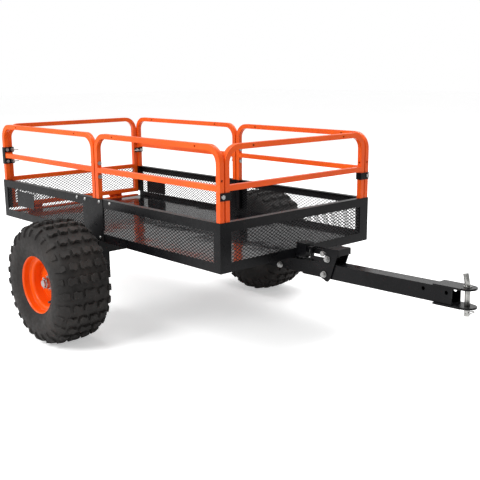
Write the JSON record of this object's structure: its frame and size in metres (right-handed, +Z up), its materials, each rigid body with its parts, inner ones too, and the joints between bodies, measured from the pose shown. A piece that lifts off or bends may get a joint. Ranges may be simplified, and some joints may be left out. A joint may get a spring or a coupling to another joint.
{
  "type": "tipping utility trailer",
  "caption": "Two-wheeled tipping garden cart with a mesh tray, removable tube hoops, a drop-down tailgate, balloon tyres and a drawbar with pin hitch and foot-pedal latch.",
  "frame": {"origin": "on the ground under the middle of the whole length, on the centre plane", "axes": "+X forwards to the hitch, +Y to the left side, +Z up"},
  "size_m": [2.1366, 1.272, 0.7619],
  "materials": {
    "orange_paint": "gloss",
    "black_paint": "satin",
    "gloss_black": "gloss",
    "dark_mesh": "satin",
    "zinc": "satin",
    "bright_steel": "polished",
    "tyre_rubber": "matt",
    "valve_rubber": "matt"
  },
  "bodies": {
    "chassis": {"axle_beam": "black_paint", "axle_legs": "black_paint", "spindles": "zinc", "wheel_washers": "zinc", "wheel_nuts": "zinc", "cotter_pins": "zinc", "pivot_arms": "black_paint", "pivot_rod": "zinc", "drawbar_rear_tube": "black_paint", "drawbar_front_tube": "black_paint", "drawbar_bolt": "zinc", "hitch_plates": "black_paint", "pedal_pivot_bolt": "zinc", "pedal_spring": "bright_steel"},
    "wheel_left": {"tyre_left": "tyre_rubber", "rim_left": "orange_paint", "bearings_left": "bright_steel", "valve_left": "valve_rubber"},
    "wheel_right": {"tyre_right": "tyre_rubber", "rim_right": "orange_paint", "bearings_right": "bright_steel", "valve_right": "valve_rubber"},
    "tray": {"front_panel": "black_paint", "front_mesh": "dark_mesh", "side_panel_left_front": "black_paint", "side_panel_left_rear": "black_paint", "side_panel_right_front": "black_paint", "side_panel_right_rear": "black_paint", "side_mesh_left_front": "dark_mesh", "side_mesh_left_rear": "dark_mesh", "side_mesh_right_front": "dark_mesh", "side_mesh_right_rear": "dark_mesh", "floor_bearers": "black_paint", "floor_sheet_front": "gloss_black", "floor_sheet_rear": "gloss_black", "centre_plates": "black_paint", "label_plates": "black_paint", "panel_bolts": "zinc", "latch_striker": "black_paint", "striker_bolt": "zinc", "hoop_left_front": "orange_paint", "hoop_left_rear": "orange_paint", "hoop_right_front": "orange_paint", "hoop_right_rear": "orange_paint", "hoop_front": "orange_paint", "corner_straps": "black_paint", "rear_brackets": "black_paint", "bracket_bolts": "zinc", "splice_pins": "zinc", "tailgate_sill": "orange_paint"},
    "tailgate": {"tailgate_frame": "orange_paint", "tailgate_mesh": "dark_mesh"},
    "gate_pin_left_upper": {"gate_pin_left_upper": "zinc"},
    "gate_pin_left_lower": {"gate_pin_left_lower": "zinc"},
    "gate_pin_right_upper": {"gate_pin_right_upper": "zinc"},
    "gate_pin_right_lower": {"gate_pin_right_lower": "zinc"},
    "pedal": {"pedal": "black_paint", "pedal_cross_bolt": "zinc"},
    "hitch_pin": {"hitch_pin": "bright_steel", "hitch_clip": "bright_steel"}
  },
  "joints": [
    {"name": "wheel_left_spin", "type": "hinge", "parent": "chassis", "child": "wheel_left", "pos_m": [-0.33227, 0.5305, 0.2285], "axis": [0, 1, 0], "continuous": true},
    {"name": "wheel_right_spin", "type": "hinge", "parent": "chassis", "child": "wheel_right", "pos_m": [-0.33227, -0.5305, 0.2285], "axis": [0, 1, 0], "continuous": true},
    {"name": "tray_dump", "type": "hinge", "parent": "chassis", "child": "tray", "pos_m": [-0.46227, 0, 0.344], "axis": [0, -1, 0], "range_deg": [0, 27]},
    {"name": "tailgate_drop", "type": "hinge", "parent": "tray", "child": "tailgate", "pos_m": [-1.06327, 0, 0.385], "axis": [0, -1, 0], "range_deg": [0, 175]},
    {"name": "pedal_press", "type": "hinge", "parent": "chassis", "child": "pedal", "pos_m": [0.52695, 0, 0.32236], "axis": [0, 1, 0], "range_deg": [-6, 12], "deforming": ["pedal_spring"]},
    {"name": "hitch_pin_lift", "type": "slide", "parent": "chassis", "child": "hitch_pin", "axis": [-0.0236, 0, 0.9997], "range_m": [0, 0.012]},
    {"name": "gate_pin_left_upper_draw", "type": "slide", "parent": "tray", "child": "gate_pin_left_upper", "axis": [1, 0, 0], "range_m": [0, 0.02]},
    {"name": "gate_pin_left_lower_draw", "type": "slide", "parent": "tray", "child": "gate_pin_left_lower", "axis": [1, 0, 0], "range_m": [0, 0.02]},
    {"name": "gate_pin_right_upper_draw", "type": "slide", "parent": "tray", "child": "gate_pin_right_upper", "axis": [1, 0, 0], "range_m": [0, 0.02]},
    {"name": "gate_pin_right_lower_draw", "type": "slide", "parent": "tray", "child": "gate_pin_right_lower", "axis": [1, 0, 0], "range_m": [0, 0.02]}
  ]
}
